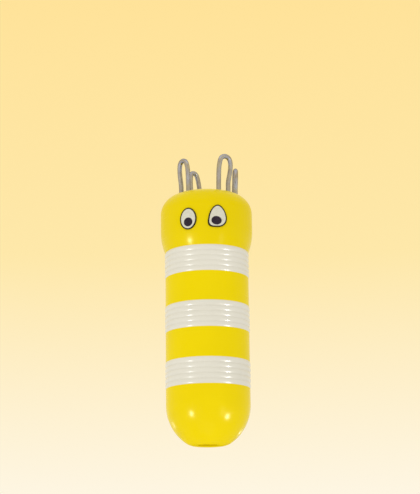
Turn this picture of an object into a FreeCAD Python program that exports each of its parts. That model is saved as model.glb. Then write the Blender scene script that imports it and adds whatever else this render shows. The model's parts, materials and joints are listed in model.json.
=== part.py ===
import FreeCAD, Part

# Knitting spool for making i-cord: an upright tube in a stack of moulded rings, with a barrel
# shaped head on top that carries four wire hooks and two flat eyes, and a domed tail below.
# Millimetres. +Z runs up the axis, z = 0 is the foot at the tail's outlet, the face looks along -Y.

import math
import os
import re

import Sketcher
from FreeCAD import Placement, Rotation, Vector

# Driving dimensions: name, value
SIZES = {
    # Outer stack, from the foot up
    "body_radius": 13.5,
    "tail_height": 17.95,
    "dome_radius": 15.2,
    "foot_land": 0.45,
    "outlet_chamfer": 0.25,
    "band_height": 8.45,
    "ring_height": 9.55,
    "rib_count": 5,
    "rib_height": 0.2,
    "rib_land": 0.14,
    "rib_root": 0.4,
    # Walls and the lap joints between the stacked pieces
    "wall": 2.4,
    "web": 1.4,
    "lap_wall": 1.2,
    "lap_depth": 1.8,
    "lap_gap": 0.1,
    "lap_end_gap": 0.2,
    # Tube that the knitted cord runs down
    "cord_bore_radius": 3.5,
    "tube_wall": 0.8,
    "tube_gap": 0.1,
    "tube_end_gap": 0.1,
    "tube_seat_rise": 5.0,
    "hub_wall": 1.2,
    # Head
    "head_height": 19.5,
    "head_flare": 1.5,
    "flare_height": 7.4,
    "head_corner_radius": 6.5,
    "top_plate": 3.2,
    "mouth_lip_radius": 3.0,
    "tube_seat_depth": 5.0,
    # Wire hooks and their bosses in the head
    "wire_radius": 0.75,
    "leg_spacing": 3.8,
    "hook_inset": 5.75,
    "hook_circle_shift": 1.0,
    "hook_phase": -60.5,
    "hook_depth": 8.0,
    "hook_gap": 0.03,
    "bend_height": 1.5,
    "bend_length": 1.2,
    "boss_wall": 1.3,
    "boss_floor": 1.2,
    # Eyes
    "eye_rim_width": 0.36,
    "eye_corner_spread": 25.0,
    "eye_white_height": 0.25,
    "eye_rim_height": 0.3,
    "eye_pupil_height": 0.35,
    "left_eye_angle": -22.7,
    "left_eye_level": 8.29,
    "left_eye_half_width": 2.83,
    "left_eye_half_height": 3.54,
    "left_eye_taper": 0.03,
    "left_eye_corner": 0.0,
    "left_pupil_across": 0.06,
    "left_pupil_down": 1.15,
    "left_pupil_half_width": 1.44,
    "left_pupil_half_height": 1.43,
    "right_eye_angle": 14.1,
    "right_eye_level": 8.93,
    "right_eye_half_width": 2.91,
    "right_eye_half_height": 3.63,
    "right_eye_taper": 0.22,
    "right_eye_corner": 0.22,
    "right_pupil_across": -0.48,
    "right_pupil_down": 1.55,
    "right_pupil_half_width": 1.66,
    "right_pupil_half_height": 1.38,
}

# The hooks stand a quarter turn apart and were bent by hand, so each has its own form. In degrees:
# its place beyond the quarter turn, the twist of its plane and its outward lean. In mm: how far its
# arch stands to the right of the legs and its peak to the right of the arch, seen from outside, how
# much wider the arch is than the legs are apart, and the height of the peak.
HOOKS = {
    "hook_front_left": {
        "place": 1.7, "twist": 7.4, "lean": 6.0,
        "sway": 0.16, "peak": -0.43, "spread": 0.13, "height": 10.7},
    "hook_front_right": {
        "place": 0.7, "twist": 5.0, "lean": 5.0,
        "sway": 0.37, "peak": 0.04, "spread": 0.42, "height": 11.25},
    "hook_back_right": {
        "place": -7.0, "twist": -17.0, "lean": 1.5,
        "sway": -0.5, "peak": -0.2, "spread": 0.0, "height": 9.75},
    "hook_back_left": {
        "place": -0.8, "twist": 11.7, "lean": 6.5,
        "sway": 0.02, "peak": -0.04, "spread": -0.9, "height": 10.9},
}

# Values that several pieces share, worked out from the driving dimensions
TUBE_RADIUS = "(cord_bore_radius + tube_wall)"
HUB_BORE = "(cord_bore_radius + tube_wall + tube_gap)"
HUB_RADIUS = f"({HUB_BORE} + hub_wall)"
FOOT_RADIUS = "(cord_bore_radius + outlet_chamfer + foot_land)"
INNER_RADIUS = "(body_radius - wall)"
SOCKET_RADIUS = "(body_radius - lap_wall)"
SPIGOT_RADIUS = f"({SOCKET_RADIUS} - lap_gap)"
SPIGOT_HEIGHT = "(lap_depth - lap_end_gap)"
DOME_SPAN = f"({FOOT_RADIUS} - body_radius + dome_radius)"
DOME_TOP = f"sqrt(dome_radius ^ 2 - {DOME_SPAN} ^ 2)"
HEAD_LOW = "(tail_height + 3 * band_height + 2 * ring_height)"
HEAD_TOP = f"({HEAD_LOW} + head_height)"
TUBE_SEAT = f"({HEAD_TOP} - tube_seat_depth)"
HEAD_RADIUS = "(body_radius + head_flare)"
FLARE_RADIUS = "((head_flare ^ 2 + flare_height ^ 2) / (2 * head_flare))"
HOOK_CIRCLE = f"({HEAD_RADIUS} - hook_inset)"

doc = FreeCAD.newDocument("KnittingSpool")


def make_sheet():
    """Spreadsheet with one row per driving dimension, each under its alias."""
    sheet = doc.addObject("Spreadsheet::Sheet", "Sizes")
    rows = dict(SIZES)
    for name, form in HOOKS.items():
        rows.update({f"{name}_{what}": size for what, size in form.items()})
    for row, (alias, value) in enumerate(rows.items(), start=1):
        sheet.set(f"A{row}", alias)
        sheet.set(f"B{row}", str(value))
        sheet.setAlias(f"B{row}", alias)
    doc.recompute()
    return sheet, set(rows)


sheet, aliases = make_sheet()


def bound(expression):
    """Expression with each size's name turned into a reference to its cell."""
    return re.sub(r"[a-z_]+", lambda m: "Sizes." + m[0] if m[0] in aliases else m[0], expression)


def value(expression):
    """What an expression of size names comes to now."""
    return float(sheet.evalExpression(bound(expression)))


def bind(thing, prop, expression):
    thing.setExpression(prop, bound(expression))


def origin_feature(body, role):
    return next(f for f in body.Origin.OriginFeatures if f.Role == role)


def make_body(label):
    body = doc.addObject("PartDesign::Body", label)
    body.Label = label
    return body


def arc_between(start, end, radius, side):
    """Arc from start to end with its centre to the left (side 1) or right (side -1)."""
    chord = end - start
    rise = math.sqrt(radius ** 2 - (chord.Length / 2) ** 2)
    left = Vector(-chord.y, chord.x, 0).normalize()
    centre = (start + end) / 2 + left * (rise * side)
    first, last = (start, end) if side > 0 else (end, start)
    turns = [math.atan2(p.y - centre.y, p.x - centre.x) for p in (first, last)]
    return Part.ArcOfCircle(Part.Circle(centre, Vector(0, 0, 1), radius), *turns)


def profile_sketch(body, name, outline):
    """Closed sketch on the body's XZ plane. The outline alternates corners, as (radius, height)
    expressions, with an optional arc between two of them, as ("arc", radius, side)."""
    sketch = body.newObject("Sketcher::SketchObject", name)
    sketch.AttachmentSupport = [(origin_feature(body, "XZ_Plane"), "")]
    sketch.MapMode = "FlatFace"
    corners = [item for item in outline if item[0] != "arc"]
    arcs = {}
    for place, item in enumerate(outline):
        if item[0] == "arc":
            arcs[corners.index(outline[place - 1])] = item[1:]
    points = [Vector(value(radius), value(height), 0) for radius, height in corners]
    starts = []
    for index, start in enumerate(points):
        end = points[(index + 1) % len(points)]
        if index in arcs:
            radius, side = arcs[index]
            sketch.addGeometry(arc_between(start, end, value(radius), side))
            starts.append(1 if side > 0 else 2)
        else:
            sketch.addGeometry(Part.LineSegment(start, end))
            starts.append(1)
    for index, (radius, height) in enumerate(corners):
        after = (index + 1) % len(corners)
        sketch.addConstraint(Sketcher.Constraint(
            "Coincident", index, 3 - starts[index], after, starts[after]))
        for kind, axis, expression, place in (
                ("DistanceX", -2, radius, points[index].x), ("DistanceY", -1, height, points[index].y)):
            if expression == "0":
                sketch.addConstraint(Sketcher.Constraint("PointOnObject", index, starts[index], axis))
                continue
            row = sketch.addConstraint(Sketcher.Constraint(kind, -1, 1, index, starts[index], place))
            bind(sketch, f"Constraints[{row}]", expression)
        if index in arcs:
            row = sketch.addConstraint(Sketcher.Constraint("Radius", index, value(arcs[index][0])))
            bind(sketch, f"Constraints[{row}]", arcs[index][0])
    return sketch


def revolve(body, name, sketch):
    turned = body.newObject("PartDesign::Revolution", name)
    turned.Profile = sketch
    turned.ReferenceAxis = (sketch, ["V_Axis"])
    turned.Angle = 360
    sketch.Visibility = False
    doc.recompute()
    return turned


def make_stack_ring(label, low, height):
    """One ring of the stack: outer wall, floor web and hub round the tube, with a socket for the
    spigot of the piece below and a spigot for the piece above."""
    body = make_body(label)
    top = f"({low} + {height})"
    floor_low = f"({low} + lap_depth)"
    floor_top = f"({floor_low} + web)"
    spigot_top = f"({top} + {SPIGOT_HEIGHT})"
    revolve(body, label + "_wall", profile_sketch(body, label + "_section", [
        (HUB_BORE, low), (HUB_RADIUS, low), (HUB_RADIUS, floor_low), (SOCKET_RADIUS, floor_low),
        (SOCKET_RADIUS, low), ("body_radius", low), ("body_radius", top), (SPIGOT_RADIUS, top),
        (SPIGOT_RADIUS, spigot_top), (INNER_RADIUS, spigot_top), (INNER_RADIUS, floor_top),
        (HUB_RADIUS, floor_top), (HUB_RADIUS, top), (HUB_BORE, top)]))
    return body


def add_grip_ribs(body, low):
    """Round ribs that stand out of a band, one above the other, with a narrow land between."""
    pitch = "(band_height / rib_count)"
    half_width = f"(({pitch} - rib_land) / 2)"
    middle = f"({low} + {pitch} / 2)"
    root = "(body_radius - rib_root)"
    rib_radius = f"(({half_width} ^ 2 + rib_height ^ 2) / (2 * rib_height))"
    section = profile_sketch(body, body.Label + "_rib_section", [
        (root, f"{middle} - {half_width}"), ("body_radius", f"{middle} - {half_width}"),
        ("arc", rib_radius, 1),
        ("body_radius", f"{middle} + {half_width}"), (root, f"{middle} + {half_width}")])
    rib = revolve(body, body.Label + "_rib", section)
    ribs = body.newObject("PartDesign::LinearPattern", body.Label + "_ribs")
    ribs.Originals = [rib]
    ribs.Direction = (section, ["V_Axis"])
    bind(ribs, "Length", f"{pitch} * (rib_count - 1)")
    bind(ribs, "Occurrences", "rib_count")
    body.Tip = ribs
    doc.recompute()


def make_tail_cap():
    """Domed tail with the cord's outlet in its flat foot, a seat for the tube and a spigot on top."""
    body = make_body("tail_cap")
    spigot_top = f"(tail_height + {SPIGOT_HEIGHT})"
    revolve(body, "tail_wall", profile_sketch(body, "tail_section", [
        ("cord_bore_radius + outlet_chamfer", "0"), (FOOT_RADIUS, "0"), ("arc", "dome_radius", 1),
        ("body_radius", DOME_TOP), ("body_radius", "tail_height"), (SPIGOT_RADIUS, "tail_height"),
        (SPIGOT_RADIUS, spigot_top), (INNER_RADIUS, spigot_top), (INNER_RADIUS, DOME_TOP),
        (HUB_RADIUS, f"{DOME_TOP} - {INNER_RADIUS} + {HUB_RADIUS}"), (HUB_RADIUS, "tail_height"),
        (HUB_BORE, "tail_height"), (HUB_BORE, "tube_seat_rise"), ("cord_bore_radius", "tube_seat_rise"),
        ("cord_bore_radius", "outlet_chamfer")]))


def make_cord_tube():
    """Straight tube from its seat in the tail to its seat in the head."""
    body = make_body("cord_tube")
    tube_top = f"({TUBE_SEAT} - tube_end_gap)"
    revolve(body, "tube_wall_turned", profile_sketch(body, "tube_section", [
        ("cord_bore_radius", "tube_seat_rise"), (TUBE_RADIUS, "tube_seat_rise"), (TUBE_RADIUS, tube_top),
        ("cord_bore_radius", tube_top)]))


def hook_angle(name):
    """Expression for the angle from the front at which a hook stands on its circle."""
    return f"(hook_phase + {90 * list(HOOKS).index(name)} + {name}_place)"


def leg_places(name):
    """Expressions for where the two legs of a hook enter the top of the head."""
    angle = hook_angle(name)
    plane = f"({angle} + {name}_twist)"
    for side in ("-", "+"):
        across = f"hook_circle_shift + {HOOK_CIRCLE} * sin({angle} * 1deg)"
        along = f"-{HOOK_CIRCLE} * cos({angle} * 1deg)"
        yield (f"{across} {side} leg_spacing / 2 * cos({plane} * 1deg)",
               f"{along} {side} leg_spacing / 2 * sin({plane} * 1deg)")


def add_round(body, kind, name, place, low, radius, height):
    """Upright round boss or hole whose foot stands at (x, y) and the height low."""
    round_part = body.newObject(kind, name)
    bind(round_part, "Radius", radius)
    bind(round_part, "Height", height)
    bind(round_part, "Placement.Base.x", place[0])
    bind(round_part, "Placement.Base.y", place[1])
    bind(round_part, "Placement.Base.z", low)


def make_head():
    """Barrel-shaped moulded head: belled mouth for the yarn, sleeve for the tube, socket for the
    first band, and a boss with a blind hole for each wire leg."""
    body = make_body("head_shell")
    plate_low = f"({HEAD_TOP} - top_plate)"
    floor_low = f"({HEAD_LOW} + lap_depth)"
    revolve(body, "head_wall", profile_sketch(body, "head_section", [
        (SOCKET_RADIUS, HEAD_LOW), ("body_radius", HEAD_LOW), ("arc", FLARE_RADIUS, 1),
        (HEAD_RADIUS, f"{HEAD_LOW} + flare_height"), (HEAD_RADIUS, f"{HEAD_TOP} - head_corner_radius"),
        ("arc", "head_corner_radius", 1),
        (f"{HEAD_RADIUS} - head_corner_radius", HEAD_TOP),
        ("cord_bore_radius + mouth_lip_radius", HEAD_TOP), ("arc", "mouth_lip_radius", 1),
        ("cord_bore_radius", f"{HEAD_TOP} - mouth_lip_radius"), ("cord_bore_radius", TUBE_SEAT),
        (HUB_BORE, TUBE_SEAT), (HUB_BORE, HEAD_LOW), (HUB_RADIUS, HEAD_LOW), (HUB_RADIUS, plate_low),
        (INNER_RADIUS, plate_low), (INNER_RADIUS, floor_low), (SOCKET_RADIUS, floor_low)]))
    hole_low = f"({HEAD_TOP} - hook_depth)"
    boss_low = f"({hole_low} - boss_floor)"
    boss_height = f"hook_depth + boss_floor - top_plate / 2"
    for name in HOOKS:
        for leg, place in enumerate(leg_places(name), start=1):
            add_round(body, "PartDesign::AdditiveCylinder", f"{name}_boss_{leg}", place, boss_low,
                      "wire_radius + hook_gap + boss_wall", boss_height)
    doc.recompute()
    solid_volume = body.Shape.Volume
    for name in HOOKS:
        for leg, place in enumerate(leg_places(name), start=1):
            add_round(body, "PartDesign::SubtractiveCylinder", f"{name}_hole_{leg}", place, hole_low,
                      "wire_radius + hook_gap", "hook_depth + 1")
    doc.recompute()
    assert body.Shape.Volume < solid_volume, "the wire holes cut nothing"


def hook_wire_shape(form):
    """Bent wire in the hook's own frame: x across the legs, -y outward, z up from the head's top."""
    half = sheet.leg_spacing / 2
    lean = math.radians(form["lean"])
    onward = Vector(0, -math.sin(lean), math.cos(lean))
    bend_end = Vector(0, 0, sheet.bend_height + sheet.bend_length / 2) + onward * (sheet.bend_length / 2)

    def above_bend(across, along):
        return bend_end + Vector(across, 0, 0) + onward * along

    rise = (form["height"] - bend_end.z) / math.cos(lean)
    arch_radius = half + form["spread"] / 2
    shoulder = rise - arch_radius
    slant = arch_radius * math.sqrt(0.5)
    bow = [Vector(-half, 0, sheet.bend_height), above_bend(-half, 0)]
    for across, along in ((-arch_radius, shoulder), (-slant, shoulder + slant), (form["peak"], rise),
                          (slant, shoulder + slant), (arch_radius, shoulder)):
        bow.append(above_bend(form["sway"] + across, along))
    bow += [above_bend(half, 0), Vector(half, 0, sheet.bend_height)]
    arch = Part.BSplineCurve()
    arch.interpolate(Points=bow, InitialTangent=Vector(0, 0, 1), FinalTangent=Vector(0, 0, -1))
    feet = [Vector(-half, 0, -sheet.hook_depth), Vector(half, 0, -sheet.hook_depth)]
    path = Part.Wire([Part.makeLine(feet[0], bow[0]), arch.toShape(), Part.makeLine(bow[-1], feet[1])])
    section = Part.Wire([Part.makeCircle(sheet.wire_radius, feet[0], Vector(0, 0, 1))])
    return path.makePipeShell([section], True, False)


def make_hook(name):
    """One wire hook, standing in its two holes."""
    form = {what: getattr(sheet, f"{name}_{what}") for what in HOOKS[name]}
    angle, circle = value(hook_angle(name)), value(HOOK_CIRCLE)
    turn = math.radians(angle)
    hook = doc.addObject("Part::Feature", name)
    hook.Label = name
    hook.Shape = hook_wire_shape(form)
    hook.Placement = Placement(
        Vector(sheet.hook_circle_shift + circle * math.sin(turn), -circle * math.cos(turn), value(HEAD_TOP)),
        Rotation(Vector(0, 0, 1), angle + form["twist"]))


def head_side(proud):
    """Edges up the outside of the head in the XZ plane, from its foot to the flat top, moved out
    by proud from the wall."""
    top, head_radius, corner = value(HEAD_TOP), value(HEAD_RADIUS), sheet.head_corner_radius
    flare_radius, flare_top = value(FLARE_RADIUS), value(HEAD_LOW) + sheet.flare_height
    flare_turn = math.asin(sheet.flare_height / flare_radius)

    def on_circle(centre_x, centre_z, radius, turn):
        return Vector(centre_x + radius * math.cos(turn), 0, centre_z + radius * math.sin(turn))

    swell = [on_circle(head_radius - flare_radius, flare_top, flare_radius + proud, -turn)
             for turn in (flare_turn, flare_turn / 2, 0)]
    round_over = [on_circle(head_radius - corner, top - corner, corner + proud, turn)
                  for turn in (0, math.pi / 4, math.pi / 2)]
    return [Part.Arc(*swell).toShape(), Part.makeLine(swell[2], round_over[0]),
            Part.Arc(*round_over).toShape()]


def head_skin(proud):
    """Solid that lies on the outside of the head, as thick as proud."""
    inner, outer = head_side(0), head_side(proud)
    ends = [Part.makeLine(inner[0].Vertexes[0].Point, outer[0].Vertexes[0].Point),
            Part.makeLine(inner[-1].Vertexes[-1].Point, outer[-1].Vertexes[-1].Point)]
    section = Part.Face(Part.Wire(Part.__sortEdges__(inner + outer + ends)))
    return section.revolve(Vector(0, 0, 0), Vector(0, 0, 1), 360)


def egg_prism(angle_degrees, across, level, half_width, half_height, taper=0, corner=0):
    """Bar with an egg-shaped outline, narrower at the top by its taper and swollen at its lower left
    corner, pointing out of the head at an angle from the front."""
    points = []
    for degrees in range(0, 360, 15):
        turn = math.radians(degrees)
        from_corner = (degrees - 225) / sheet.eye_corner_spread
        swell = 1 + corner * math.exp(-from_corner ** 2)
        width = swell * half_width * math.cos(turn) * (1 - taper * math.sin(turn))
        height = swell * half_height * math.sin(turn)
        points.append(Vector(across + width, 0, level + height))
    outline = Part.BSplineCurve()
    outline.interpolate(Points=points, PeriodicFlag=True)
    face = Part.Face(Part.Wire([outline.toShape()]))
    reach = 2 * value(HEAD_RADIUS)
    bar = face.extrude(Vector(0, -reach, 0))
    bar.rotate(Vector(0, 0, 0), Vector(0, 0, 1), angle_degrees)
    return bar


def add_eye_piece(label, height, outer, inner):
    """Thin piece on the head inside one outline and outside another."""
    piece = doc.addObject("Part::Feature", label)
    piece.Label = label
    shape = head_skin(height).common(outer)
    if inner is not None:
        shape = shape.cut(inner)
    piece.Shape = shape.Solids[0]


def make_eye(side):
    """Eye laid on the head: dark rim, white and pupil."""
    def size(name):
        return getattr(sheet, f"{side}_{name}")

    level = value(HEAD_LOW) + size("eye_level")
    rim = sheet.eye_rim_width
    form = size("eye_taper"), size("eye_corner")
    outline = egg_prism(size("eye_angle"), 0, level, size("eye_half_width"),
                        size("eye_half_height"), *form)
    inside = egg_prism(size("eye_angle"), 0, level, size("eye_half_width") - rim,
                       size("eye_half_height") - rim, *form)
    pupil = egg_prism(size("eye_angle"), size("pupil_across"), level - size("pupil_down"),
                      size("pupil_half_width"), size("pupil_half_height"))
    add_eye_piece(f"{side}_eye_rim", sheet.eye_rim_height, outline, inside)
    add_eye_piece(f"{side}_eye_white", sheet.eye_white_height, inside, pupil)
    add_eye_piece(f"{side}_eye_pupil", sheet.eye_pupil_height, pupil, None)


def make_stack():
    """White ribbed bands with plain yellow rings between them, from the tail up to the head."""
    low = "tail_height"
    for label in ("white_band_lower", "yellow_ring_lower", "white_band_middle", "yellow_ring_upper",
                  "white_band_upper"):
        ribbed = label.startswith("white")
        height = "band_height" if ribbed else "ring_height"
        body = make_stack_ring(label, low, height)
        if ribbed:
            add_grip_ribs(body, low)
        low = f"({low} + {height})"


def check_objects():
    """Stops if any object failed to build."""
    for thing in doc.Objects:
        if "Invalid" in thing.State or "Error" in thing.State:
            raise RuntimeError(f"{thing.Label} did not build: {thing.State}")


def sub_parts():
    """The finished pieces: every body, and every feature that stands by itself."""
    return [thing for thing in doc.Objects if thing.TypeId in ("PartDesign::Body", "Part::Feature")]


def write_parts():
    os.makedirs("parts", exist_ok=True)
    for piece in sub_parts():
        shape = piece.Shape
        if shape.isNull() or not shape.isValid() or len(shape.Solids) != 1:
            raise RuntimeError(f"{piece.Label} is not one valid solid")
        shape.exportStep(f"parts/{piece.Label}.step")
        print(f"{piece.Label}: {shape.Volume:.1f} mm3")


make_cord_tube()
make_tail_cap()
make_stack()
make_head()
for hook_name in HOOKS:
    make_hook(hook_name)
for eye_side in ("left", "right"):
    make_eye(eye_side)
doc.recompute()
check_objects()
write_parts()
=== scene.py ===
import json
import math

import bmesh
import bpy
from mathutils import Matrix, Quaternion, Vector


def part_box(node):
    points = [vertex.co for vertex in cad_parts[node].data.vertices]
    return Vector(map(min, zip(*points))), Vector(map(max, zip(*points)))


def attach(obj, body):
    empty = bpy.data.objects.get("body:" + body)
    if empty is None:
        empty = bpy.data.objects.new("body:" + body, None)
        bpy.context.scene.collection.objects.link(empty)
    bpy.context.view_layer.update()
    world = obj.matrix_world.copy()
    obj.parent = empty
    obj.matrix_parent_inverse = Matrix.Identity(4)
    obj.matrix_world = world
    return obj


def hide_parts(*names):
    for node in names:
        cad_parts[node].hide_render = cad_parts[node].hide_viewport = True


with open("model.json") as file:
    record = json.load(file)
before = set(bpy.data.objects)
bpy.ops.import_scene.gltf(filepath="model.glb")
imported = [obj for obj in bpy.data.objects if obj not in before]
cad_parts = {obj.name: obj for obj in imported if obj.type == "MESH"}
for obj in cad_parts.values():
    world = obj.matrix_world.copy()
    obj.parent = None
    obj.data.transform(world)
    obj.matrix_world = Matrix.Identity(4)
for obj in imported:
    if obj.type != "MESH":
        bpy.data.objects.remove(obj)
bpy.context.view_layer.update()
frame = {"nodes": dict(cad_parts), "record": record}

MM = 0.001
scene = bpy.context.scene
nodes = frame["nodes"]


def srgb(red, green, blue):
    """Linear colour of an sRGB colour given as 0 to 255."""
    def linear(level):
        level /= 255
        return level / 12.92 if level <= 0.04045 else ((level + 0.055) / 1.055) ** 2.4
    return linear(red), linear(green), linear(blue), 1.0


# Camera: a little below the spool, looking up at it
CAMERA_PLACE = Vector((0.0, -452.02, -50.42)) * MM
CAMERA_TARGET = Vector((1.084, -5.175, 63.502)) * MM
CAMERA_ROLL = math.radians(-0.634)
CAMERA_LENS = 103.88

camera_data = bpy.data.cameras.new("camera")
camera_data.lens = CAMERA_LENS
camera_data.sensor_width = 36
camera_data.clip_start = 0.01
camera_data.clip_end = 20
camera = bpy.data.objects.new("camera", camera_data)
scene.collection.objects.link(camera)
camera.location = CAMERA_PLACE
camera.rotation_mode = "QUATERNION"
aim = (CAMERA_TARGET - CAMERA_PLACE).to_track_quat("-Z", "Y")
camera.rotation_quaternion = aim @ Quaternion((0, 0, 1), CAMERA_ROLL)
scene.camera = camera
scene.view_settings.view_transform = "Standard"


class Finish:
    """A material and the nodes that vary it over the surface, in the part's own millimetres."""

    def __init__(self, name):
        self.material = bpy.data.materials.new(name)
        self.material.use_nodes = True
        self.tree = self.material.node_tree
        self.shader = self.tree.nodes["Principled BSDF"]
        place = self.tree.nodes.new("ShaderNodeTexCoord")
        self.place = place.outputs["Object"]

    def node(self, kind, **inputs):
        """New node with some of its inputs set, each to a constant or another node's output."""
        made = self.tree.nodes.new(kind)
        for name, given in inputs.items():
            self.give(made.inputs[name.replace("_", " ")], given)
        return made

    def give(self, socket, given):
        """Link an output to an input, or set the input to a constant."""
        if isinstance(given, bpy.types.NodeSocket):
            self.tree.links.new(given, socket)
        else:
            socket.default_value = given

    def set(self, **inputs):
        """Set inputs of the shader itself."""
        for name, given in inputs.items():
            self.give(self.shader.inputs[name.replace("_", " ")], given)

    def stretched(self, across, around, along, turn=0.0):
        """Coordinates with one unit for so many millimetres on each axis."""
        mapping = self.node("ShaderNodeMapping", Vector=self.place,
                            Rotation=(turn, turn, 0.0),
                            Scale=tuple(1 / (size * MM) for size in (across, around, along)))
        return mapping.outputs["Vector"]

    def noise(self, vector, detail, roughness=0.5):
        """Cloudy pattern from 0 to 1 with one lump for each unit of its coordinates."""
        made = self.node("ShaderNodeTexNoise", Vector=vector, Scale=1.0, Detail=detail,
                         Roughness=roughness)
        return made.outputs["Fac"]

    def even_noise(self, size, detail, roughness=0.5):
        """Cloudy pattern with lumps of so many millimetres, as long as they are wide."""
        return self.noise(self.stretched(size, size, size), detail, roughness)

    def map(self, value, low, high, new_low, new_high):
        """Value moved from one range into another, and kept inside that."""
        made = self.node("ShaderNodeMapRange", Value=value, From_Min=low, From_Max=high,
                         To_Min=new_low, To_Max=new_high)
        return made.outputs["Result"]

    def math(self, operation, first, second):
        """Result of one sum on two values."""
        made = self.tree.nodes.new("ShaderNodeMath")
        made.operation = operation
        self.give(made.inputs[0], first)
        self.give(made.inputs[1], second)
        return made.outputs["Value"]

    def blend(self, factor, first, second):
        """Colour between two others, the first at 0 and the second at 1."""
        made = self.tree.nodes.new("ShaderNodeMix")
        made.data_type = "RGBA"
        self.give(made.inputs[0], factor)
        self.give(made.inputs[6], first)
        self.give(made.inputs[7], second)
        return made.outputs[2]

    def radius(self):
        """Distance from the spool's axis in millimetres."""
        parts = self.node("ShaderNodeSeparateXYZ", Vector=self.place)
        flat = self.node("ShaderNodeCombineXYZ", X=parts.outputs["X"], Y=parts.outputs["Y"])
        made = self.tree.nodes.new("ShaderNodeVectorMath")
        made.operation = "LENGTH"
        self.tree.links.new(flat.outputs["Vector"], made.inputs[0])
        return self.math("DIVIDE", made.outputs["Value"], MM)

    def bump(self, *layers):
        """Surface relief from (height socket, depth in millimetres) layers."""
        normal = None
        for height, depth in layers:
            made = self.node("ShaderNodeBump", Height=height, Strength=1.0, Distance=depth * MM)
            if normal is not None:
                self.tree.links.new(normal, made.inputs["Normal"])
            normal = made.outputs["Normal"]
        self.set(Normal=normal)

    def scuffs(self, seed):
        """Sparse hairlines that run round and along the surface, 1 on a line and 0 elsewhere."""
        lines = None
        for turn, stretch in ((seed, (0.35, 0.35, 9.0)), (seed + 0.9, (7.0, 7.0, 0.3))):
            streak = self.noise(self.stretched(*stretch, turn=turn), detail=1.0)
            line = self.map(streak, 0.70, 0.74, 0.0, 1.0)
            lines = line if lines is None else self.math("MAXIMUM", lines, line)
        return lines


WHITE = (1.0, 1.0, 1.0, 1.0)
YELLOW_SHEEN = (1.0, 0.94, 0.56, 1.0)
SCUFF_DULLNESS = 0.12
# How deep the marks in a moulding's skin are, in millimetres
WAVE_DEPTH = 0.006
GRAIN_DEPTH = 0.0006
SCUFF_DEPTH = 0.0015
# Where a band's grooves are, by their distance from the axis in millimetres, and how much painted
# shade greys them
GROOVE_FLOOR = 13.49
GROOVE_EDGE = 13.62
GROOVE_SHADE = 0.05


def moulded_plastic(name, light, dark, sheen, level, seed, gloss=(0.16, 0.24)):
    """Glossy opaque plastic straight from the mould: faint flow mottling in the colour, slight
    waviness of the skin, uneven gloss from handling and a few hairline scuffs."""
    finish = Finish(name)
    flow = finish.even_noise(14.0 + seed, detail=3.0)
    handling = finish.even_noise(5.0, detail=4.0, roughness=0.6)
    scuffs = finish.scuffs(seed)
    finish.set(
        Base_Color=finish.blend(finish.map(flow, 0.3, 0.7, 0.0, 1.0), dark, light),
        Roughness=finish.math("ADD", finish.map(handling, 0.35, 0.65, *gloss),
                              finish.math("MULTIPLY", scuffs, SCUFF_DULLNESS)),
        Specular_IOR_Level=level,
        Specular_Tint=sheen)
    finish.bump((finish.even_noise(2.6, detail=1.0), WAVE_DEPTH),
                (finish.even_noise(0.35, detail=2.0), GRAIN_DEPTH),
                (scuffs, SCUFF_DEPTH))
    return finish


def yellow_plastic(name, seed, light=(243, 216, 1), dark=(238, 211, 0)):
    """Yellow of the tail, the rings and the head, with a faint golden sheen."""
    return moulded_plastic(name, srgb(*light), srgb(*dark), YELLOW_SHEEN, 0.13, seed)


def white_plastic(name, seed):
    """Cream-white plastic of the bands, with painted shade that greys the grooves between the ribs a
    little.
    """
    finish = moulded_plastic(name, srgb(231, 226, 210), srgb(225, 220, 203), WHITE, 0.2, seed,
                             gloss=(0.18, 0.27))
    colour = finish.shader.inputs["Base Color"].links[0].from_socket
    # Painted shade: the colour is blended a little toward a grey-brown down in the grooves, most at
    # their floor
    groove_shade_mask = finish.map(finish.radius(), GROOVE_FLOOR, GROOVE_EDGE, 1.0, 0.0)
    shade = finish.math("MULTIPLY", groove_shade_mask, GROOVE_SHADE)
    finish.set(Base_Color=finish.blend(shade, colour, srgb(170, 162, 140)))
    return finish


def drawn_wire(name, seed):
    """Bright drawn steel wire: die lines along its length, faint stains and a satin gloss."""
    finish = Finish(name)
    lines = finish.noise(finish.stretched(0.10, 0.10, 6.0, turn=0.02 * seed), detail=3.0)
    stain = finish.even_noise(1.8 + 0.2 * seed, detail=4.0, roughness=0.6)
    steel = finish.blend(finish.map(stain, 0.35, 0.65, 0.0, 1.0), srgb(186, 190, 202),
                         srgb(168, 166, 178))
    finish.set(
        Base_Color=finish.blend(finish.map(lines, 0.3, 0.7, 0.0, 0.35), steel, srgb(120, 116, 112)),
        Metallic=1.0,
        Specular_Tint=(0.30, 0.28, 0.28, 1.0),
        Roughness=finish.map(stain, 0.3, 0.7, 0.24, 0.36))
    finish.bump((lines, 0.004), (stain, 0.003))
    return finish


def eye_print(name, light, dark, level, seed, gloss):
    """Thin glossy lacquer of the eyes, with brush mottling."""
    finish = Finish(name)
    mottle = finish.even_noise(0.9 + 0.1 * seed, detail=4.0, roughness=0.65)
    skin = finish.even_noise(0.4, detail=2.0)
    finish.set(
        Base_Color=finish.blend(finish.map(mottle, 0.3, 0.7, 0.0, 1.0), dark, light),
        Roughness=finish.map(skin, 0.3, 0.7, *gloss),
        Specular_IOR_Level=level)
    finish.bump((mottle, 0.004), (skin, 0.001))
    return finish


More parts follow.
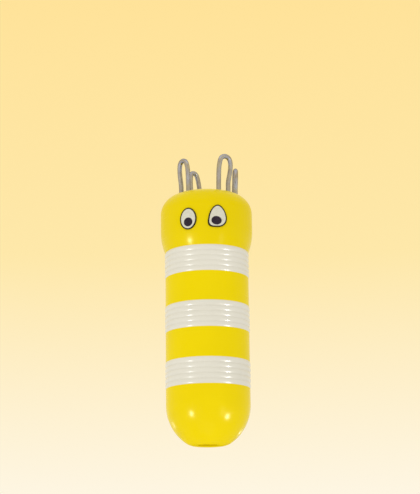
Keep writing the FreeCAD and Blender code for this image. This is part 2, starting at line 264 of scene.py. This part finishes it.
# Tail, in millimetres: its dome is a little blunter than the solid's and rounds over into the foot.
# What it shares with its neighbours comes from the frame.
BODY_RADIUS, _, SPIGOT_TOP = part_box("tail_cap")[1] / MM
TAIL_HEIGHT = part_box("white_band_lower")[0].z / MM
TUBE_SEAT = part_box("cord_tube")[0].z / MM
TUBE_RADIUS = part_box("cord_tube")[1].x / MM
BORE_RADIUS = frame["record"]["mounts"][0]["dims"]["r_mm"]
BORE_CHAMFER = 0.25
DOME_RADIUS = 14.5
DOME_TOP = 12.8
FOOT_ROUNDING = 5.0
WALL = 2.4
LAP_WALL = 1.2
LAP_GAP = 0.1
HUB_GAP = 0.1
HUB_WALL = 1.2
ARC_STEPS = 40
LATHE_STEPS = 256
SHARP_EDGE = math.radians(20)


def arc(centre, radius, first, last):
    """Points as (radius, height) on an arc between two angles in radians."""
    for step in range(ARC_STEPS + 1):
        angle = first + (last - first) * step / ARC_STEPS
        yield centre[0] + radius * math.cos(angle), centre[1] + radius * math.sin(angle)


def tail_section():
    """Closed section of the tail cap as (radius, height) points, from the outlet's edge outward."""
    spigot_radius = BODY_RADIUS - LAP_WALL - LAP_GAP
    hub_bore = TUBE_RADIUS + HUB_GAP
    hub_radius = hub_bore + HUB_WALL
    centre = (BODY_RADIUS - DOME_RADIUS, DOME_TOP)
    inner = DOME_RADIUS - WALL
    rise = DOME_TOP - FOOT_ROUNDING
    across = math.sqrt((DOME_RADIUS - FOOT_ROUNDING) ** 2 - rise ** 2)
    foot = -math.atan2(rise, across)
    hub = -math.acos((hub_radius - centre[0]) / inner)
    section = [(BORE_RADIUS, BORE_CHAMFER), (BORE_RADIUS + BORE_CHAMFER, 0.0)]
    section += arc((centre[0] + across, FOOT_ROUNDING), FOOT_ROUNDING, -math.pi / 2, foot)
    section += list(arc(centre, DOME_RADIUS, foot, 0.0))[1:]
    section += [(BODY_RADIUS, TAIL_HEIGHT), (spigot_radius, TAIL_HEIGHT),
                (spigot_radius, SPIGOT_TOP), (BODY_RADIUS - WALL, SPIGOT_TOP)]
    section += arc(centre, inner, 0.0, hub)
    section += [(hub_radius, TAIL_HEIGHT), (hub_bore, TAIL_HEIGHT), (hub_bore, TUBE_SEAT),
                (BORE_RADIUS, TUBE_SEAT)]
    return section


def turned_mesh(name, section):
    """Closed mesh made by turning a closed section round the spool's axis."""
    shape = bmesh.new()
    turns = [2 * math.pi * step / LATHE_STEPS for step in range(LATHE_STEPS)]
    rings = []
    for radius, height in section:
        places = [Vector((radius * math.cos(turn), radius * math.sin(turn), height)) for turn in turns]
        rings.append([shape.verts.new(place * MM) for place in places])
    for low, high in zip(rings, rings[1:] + rings[:1]):
        for step in range(LATHE_STEPS):
            after = (step + 1) % LATHE_STEPS
            shape.faces.new((low[step], low[after], high[after], high[step])).smooth = True
    bmesh.ops.recalc_face_normals(shape, faces=shape.faces)
    for edge in shape.edges:
        if edge.calc_face_angle() > SHARP_EDGE:
            edge.smooth = False
    mesh = bpy.data.meshes.new(name)
    shape.to_mesh(mesh)
    shape.free()
    return mesh


def blunt_tail():
    """Tail cap that stands in for the solid one."""
    tail = bpy.data.objects.new("tail_dome", turned_mesh("tail_dome", tail_section()))
    scene.collection.objects.link(tail)
    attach(tail, "root")
    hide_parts("tail_cap")
    return tail


# What is shown for each node, and its material
shown = dict(nodes)
shown["tail_cap"] = blunt_tail()

finishes = {
    # The tail's yellow is a little lighter than the rings': painted light that brightens its underside
    "tail_cap": yellow_plastic("yellow_tail", 0.4, (245, 217, 2), (240, 212, 1)),
    "yellow_ring_lower": yellow_plastic("yellow_lower", 1.3),
    "yellow_ring_upper": yellow_plastic("yellow_upper", 2.1),
    "head_shell": yellow_plastic("yellow_head", 3.2, (241, 213, 0), (236, 208, 0)),
    "white_band_lower": white_plastic("white_lower", 0.7),
    "white_band_middle": white_plastic("white_middle", 1.6),
    "white_band_upper": white_plastic("white_upper", 2.7),
    "cord_tube": moulded_plastic("cream_tube", srgb(226, 221, 200), srgb(219, 213, 190),
                                 WHITE, 0.45, 1.1),
}
for seed, name in enumerate(("hook_front_left", "hook_front_right", "hook_back_right",
                             "hook_back_left"), start=1):
    finishes[name] = drawn_wire("steel_" + name, seed)
for seed, side in enumerate(("left", "right")):
    finishes[side + "_eye_rim"] = eye_print(
        side + "_rim_lacquer", srgb(42, 36, 20), srgb(26, 21, 12), 0.12, seed, (0.28, 0.42))
    finishes[side + "_eye_pupil"] = eye_print(
        side + "_pupil_lacquer", srgb(56, 46, 62), srgb(34, 27, 40), 0.12, seed, (0.22, 0.36))
    finishes[side + "_eye_white"] = eye_print(
        side + "_white_lacquer", srgb(223, 219, 201), srgb(207, 204, 183), 0.3, seed, (0.2, 0.34))

for name, finish in finishes.items():
    mesh = shown[name].data
    mesh.materials.clear()
    mesh.materials.append(finish.material)


def group_of(name, *starts):
    """Collection of what is shown for the nodes whose names begin with one of the given words."""
    group = bpy.data.collections.new(name)
    scene.collection.children.link(group)
    for piece, obj in shown.items():
        if piece.startswith(starts):
            group.objects.link(obj)
    return group


# Groups for the lamps: every piece, all but the head and the hooks, the head, and the bands
pieces = group_of("spool_pieces", "")
body = group_of("spool_body", "tail", "yellow", "white", "cord", "left", "right")
head = group_of("spool_head", "head")
bands = group_of("spool_bands", "white")


# Floor: a pale round sheet that is only there from above, since the camera looks up from below it
FLOOR_RADIUS = 0.9


def pale_floor():
    """Paper-like floor that shows and shades from above and is clear from below."""
    finish = Finish("floor_paper")
    grain = finish.even_noise(1.5, detail=3.0)
    finish.set(
        Base_Color=finish.blend(finish.map(grain, 0.3, 0.7, 0.0, 1.0), srgb(244, 238, 224),
                                srgb(248, 243, 231)),
        Roughness=0.9, Specular_IOR_Level=0.1)
    tree = finish.tree
    back = tree.nodes.new("ShaderNodeNewGeometry")
    clear = tree.nodes.new("ShaderNodeBsdfTransparent")
    either = tree.nodes.new("ShaderNodeMixShader")
    tree.links.new(back.outputs["Backfacing"], either.inputs[0])
    tree.links.new(finish.shader.outputs["BSDF"], either.inputs[1])
    tree.links.new(clear.outputs["BSDF"], either.inputs[2])
    tree.links.new(either.outputs["Shader"], tree.nodes["Material Output"].inputs["Surface"])
    mesh = bpy.data.meshes.new("floor")
    shape = bmesh.new()
    bmesh.ops.create_circle(shape, cap_ends=True, segments=96, radius=FLOOR_RADIUS)
    bmesh.ops.recalc_face_normals(shape, faces=shape.faces)
    for face in shape.faces:
        if face.normal.z < 0:
            face.normal_flip()
    shape.to_mesh(mesh)
    shape.free()
    mesh.materials.append(finish.material)
    floor = bpy.data.objects.new("floor", mesh)
    scene.collection.objects.link(floor)
    floor.visible_diffuse = False


pale_floor()


# World: even white light on the part, and a pale warm background where it is seen. The background's
# colours go by height, from straight down at 0 to straight up at 1.
WORLD_LIGHT = 0.90
BACKDROP = (
    (0.53, (254, 247, 231)),
    (0.62, (254, 232, 170)),
    (0.71, (255, 226, 152)),
    (0.88, (255, 250, 238)),
)


def studio_world():
    """World that gives even light, and shows the backdrop to the camera and in reflections."""
    world = bpy.data.worlds.new("studio")
    scene.world = world
    world.use_nodes = True
    tree = world.node_tree
    light = tree.nodes["Background"]
    light.inputs["Color"].default_value = WHITE
    light.inputs["Strength"].default_value = WORLD_LIGHT
    seen = tree.nodes.new("ShaderNodeBackground")
    seen.inputs["Strength"].default_value = 1.0
    direction = tree.nodes.new("ShaderNodeTexCoord")
    parts = tree.nodes.new("ShaderNodeSeparateXYZ")
    tree.links.new(direction.outputs["Generated"], parts.inputs[0])
    ramp = tree.nodes.new("ShaderNodeValToRGB")
    height = tree.nodes.new("ShaderNodeMapRange")
    height.inputs["From Min"].default_value = -1.0
    tree.links.new(parts.outputs["Z"], height.inputs["Value"])
    tree.links.new(height.outputs["Result"], ramp.inputs["Fac"])
    stops = ramp.color_ramp.elements
    for index, (position, colour) in enumerate(BACKDROP):
        stop = stops[index] if index < len(stops) else stops.new(position)
        stop.position = position
        stop.color = srgb(*colour)
    tree.links.new(ramp.outputs["Color"], seen.inputs["Color"])
    path = tree.nodes.new("ShaderNodeLightPath")
    either = path.outputs["Is Camera Ray"]
    for kind in ("Is Glossy Ray", "Is Transmission Ray"):
        most = tree.nodes.new("ShaderNodeMath")
        most.operation = "MAXIMUM"
        tree.links.new(either, most.inputs[0])
        tree.links.new(path.outputs[kind], most.inputs[1])
        either = most.outputs["Value"]
    mix = tree.nodes.new("ShaderNodeMixShader")
    tree.links.new(either, mix.inputs[0])
    tree.links.new(light.outputs["Background"], mix.inputs[1])
    tree.links.new(seen.outputs["Background"], mix.inputs[2])
    tree.links.new(mix.outputs["Shader"], tree.nodes["World Output"].inputs["Surface"])


studio_world()


# Lamps. The soft ones light the part evenly, a little more from the left and from below. The
# glints are small far lamps that only show as highlights. Two low in front make the spots on the
# tail and the ribs, one makes the spot on the head, one brightens the ribs on the right, and two
# low behind catch the tail's edge. The last one draws a line down the wires.
LAMP_AIM = Vector((0, 0, 41)) * MM
GLINT_DISTANCE = 3.0


def lamp(name, azimuth, elevation, distance, width, height, brightness, blocked_by=None):
    """Oval lamp aimed at the part's middle. Brightness is what its face looks like, where 1 is
    white."""
    data = bpy.data.lights.new(name, "AREA")
    data.shape = "ELLIPSE"
    data.size = width
    data.size_y = height
    data.energy = brightness * math.pi * math.pi * width * height / 4
    obj = bpy.data.objects.new(name, data)
    scene.collection.objects.link(obj)
    turn, rise = math.radians(azimuth), math.radians(elevation)
    direction = Vector((math.sin(turn) * math.cos(rise), -math.cos(turn) * math.cos(rise),
                        math.sin(rise)))
    obj.location = LAMP_AIM + direction * distance
    obj.rotation_euler = direction.to_track_quat("Z", "Y").to_euler()
    if blocked_by is not None:
        obj.light_linking.blocker_collection = blocked_by
    return obj


def glint(name, azimuth, elevation, width, height, brightness, receivers=None):
    """Lamp that only shows as a highlight, on the given pieces or on all."""
    obj = lamp(name, azimuth, elevation, GLINT_DISTANCE, width, height, brightness, pieces)
    obj.visible_diffuse = False
    if receivers is not None:
        obj.light_linking.receiver_collection = receivers


lamp("soft_above", -25.0, 58.0, 0.9, 0.55, 0.55, 0.35)
lamp("soft_left", -35.0, -25.0, 1.2, 0.9, 0.9, 0.5, pieces)
lamp("soft_below", -10.0, -65.0, 1.2, 0.9, 0.9, 0.7, pieces)
glint("glint_left", -50.4, -23.2, 0.42, 0.56, 105.0, body)
glint("glint_right", 60.0, -28.8, 0.46, 0.56, 120.0, body)
glint("glint_head", -45.7, -19.0, 0.26, 0.20, 400.0, head)
glint("glint_bands", 57.5, -22.0, 0.36, 0.36, 90.0, bands)
glint("glint_back_left", -138.6, -14.0, 0.30, 0.30, 10.0, body)
glint("glint_back_right", 152.5, -14.0, 0.24, 0.24, 12.0, body)
glint("glint_wires", 40.0, -20.0, 0.5, 1.2, 5.0)
